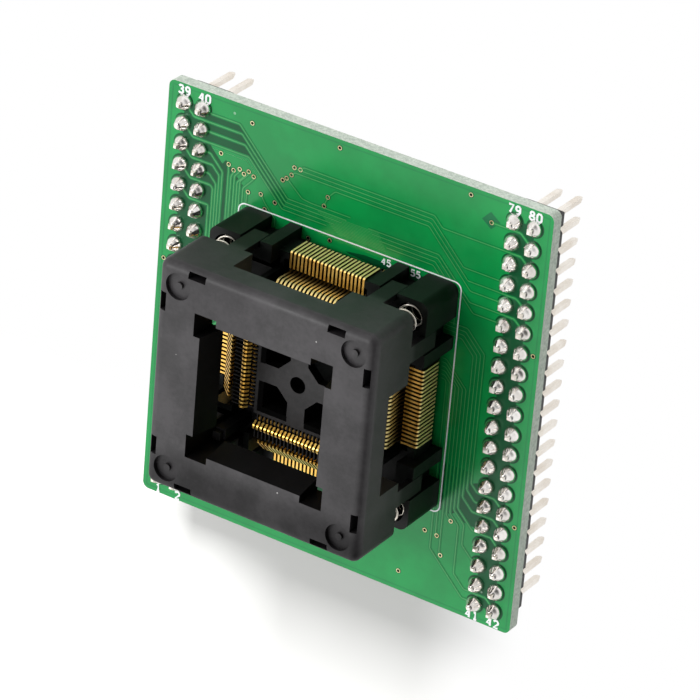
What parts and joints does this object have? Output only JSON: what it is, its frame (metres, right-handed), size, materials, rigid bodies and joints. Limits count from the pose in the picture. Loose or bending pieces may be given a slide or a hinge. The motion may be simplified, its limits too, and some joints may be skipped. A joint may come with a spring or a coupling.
{
  "type": "zif socket",
  "caption": "Open-top zero-insertion-force test socket for a quad flat package, on an adapter board with two double-row pin headers; pressing the sprung cover opens the contacts.",
  "frame": {"origin": "under the middle of the board, in the plane of the header pins' tips", "axes": "+Z out of the socket's mouth, +Y along the pin headers, +X from one header to the other"},
  "size_m": [0.0502, 0.0528, 0.0261],
  "materials": {
    "solder_mask": "green solder mask over copper, semi-gloss",
    "header_plastic": "black moulded",
    "pin_metal": "thin pale gold plating",
    "solder": "bright tin solder",
    "base_plastic": "black glass-filled, moulded",
    "contact_gold": "gold plated",
    "cover_plastic": "charcoal glass-filled, fine moulded grain",
    "spring_steel": "drawn stainless wire"
  },
  "bodies": {
    "base": {"circuit_board": "solder_mask", "header_housing_west": "header_plastic", "header_housing_east": "header_plastic", "header_pins_west": "pin_metal", "header_pins_east": "pin_metal", "header_solder_west": "solder", "header_solder_east": "solder", "socket_base": "base_plastic", "nest_plate": "base_plastic", "contacts_north": "contact_gold", "contacts_east": "contact_gold", "contacts_south": "contact_gold", "contacts_west": "contact_gold", "tail_solder_north": "solder", "tail_solder_east": "solder", "tail_solder_south": "solder", "tail_solder_west": "solder", "spring_ne": "spring_steel", "spring_se": "spring_steel", "spring_sw": "spring_steel", "spring_nw": "spring_steel"},
    "cover": {"push_cover": "cover_plastic"},
    "arms_north": {"contact_arms_north": "contact_gold"},
    "arms_east": {"contact_arms_east": "contact_gold"},
    "arms_south": {"contact_arms_south": "contact_gold"},
    "arms_west": {"contact_arms_west": "contact_gold"}
  },
  "joints": [
    {"name": "cover_press", "type": "slide", "parent": "base", "child": "cover", "axis": [0, 0, -1], "range_m": [0, 0.0022], "stiffness_N_per_m": 2500, "springref_m": -0.002, "deforming": ["spring_ne", "spring_se", "spring_sw", "spring_nw"]},
    {"name": "arms_north_open", "type": "hinge", "parent": "base", "child": "arms_north", "pos_m": [0, 0.0109, 0.0131], "axis": [-1, 0, 0], "range_deg": [0, 9.4]},
    {"name": "arms_east_open", "type": "hinge", "parent": "base", "child": "arms_east", "pos_m": [0.0109, 0, 0.0131], "axis": [0, 1, 0], "range_deg": [0, 9.4]},
    {"name": "arms_south_open", "type": "hinge", "parent": "base", "child": "arms_south", "pos_m": [0, -0.0109, 0.0131], "axis": [1, 0, 0], "range_deg": [0, 9.4]},
    {"name": "arms_west_open", "type": "hinge", "parent": "base", "child": "arms_west", "pos_m": [-0.0109, 0, 0.0131], "axis": [0, -1, 0], "range_deg": [0, 9.4]}
  ],
  "couplings": [
    {"joint": "arms_north_open", "follows": "cover_press", "rad_per_m": 73},
    {"joint": "arms_east_open", "follows": "cover_press", "rad_per_m": 73},
    {"joint": "arms_south_open", "follows": "cover_press", "rad_per_m": 73},
    {"joint": "arms_west_open", "follows": "cover_press", "rad_per_m": 73}
  ]
}
